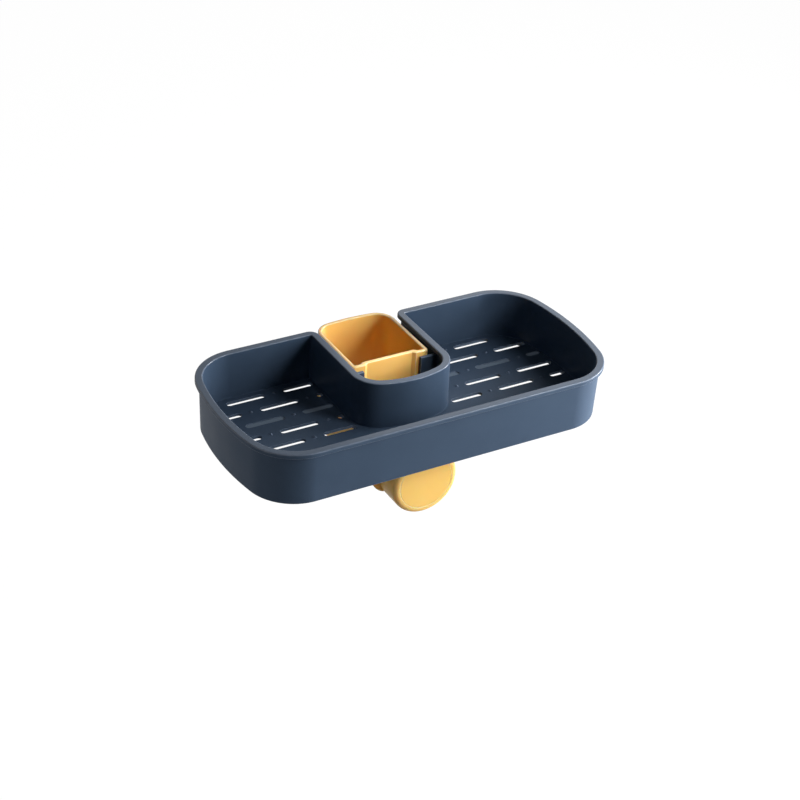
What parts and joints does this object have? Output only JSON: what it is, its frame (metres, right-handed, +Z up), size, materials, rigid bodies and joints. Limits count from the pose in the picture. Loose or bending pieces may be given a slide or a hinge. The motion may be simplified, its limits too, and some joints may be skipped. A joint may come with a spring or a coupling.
{
  "type": "clamp-on soap dish",
  "caption": "Long slotted tray with a notched back edge that lifts off a screw clamp; a round hand knob drives a padded jaw inside a loop to grip an upright pipe.",
  "frame": {"origin": "on the axis of the clamped pipe, level with the clamp screw, with the smallest pipe in the grip", "axes": "+X along the tray to the right as seen from the front, +Y from the knob to the pipe, +Z up the pipe"},
  "size_m": [0.3, 0.1578, 0.1032],
  "materials": {
    "navy_plastic": "satin moulded",
    "amber_plastic": "smooth moulded",
    "pad_rubber": "matt",
    "zinc_steel": "zinc plated"
  },
  "bodies": {
    "clamp": {"clamp_body": "amber_plastic", "screw_nut": "zinc_steel", "back_pad": "pad_rubber"},
    "jaw_slider": {"jaw": "amber_plastic", "jaw_pad": "pad_rubber"},
    "knob_and_screw": {"knob": "amber_plastic", "knob_cap": "amber_plastic", "clamp_screw": "zinc_steel", "screw_clip": "zinc_steel"},
    "tray": {"tray": "navy_plastic"}
  },
  "joints": [
    {"name": "jaw_slide", "type": "slide", "parent": "clamp", "child": "jaw_slider", "axis": [0, 1, 0], "range_m": [-0.022, 0]},
    {"name": "knob_turn", "type": "hinge", "parent": "jaw_slider", "child": "knob_and_screw", "pos_m": [0, 0, 0], "axis": [0, 1, 0], "range_deg": [-6337, 0]},
    {"name": "tray_lift", "type": "slide", "parent": "clamp", "child": "tray", "axis": [0, 0, 1], "range_m": [0, 0.06]}
  ],
  "couplings": [
    {"joint": "knob_turn", "follows": "jaw_slide", "rad_per_m": 5026.5}
  ]
}
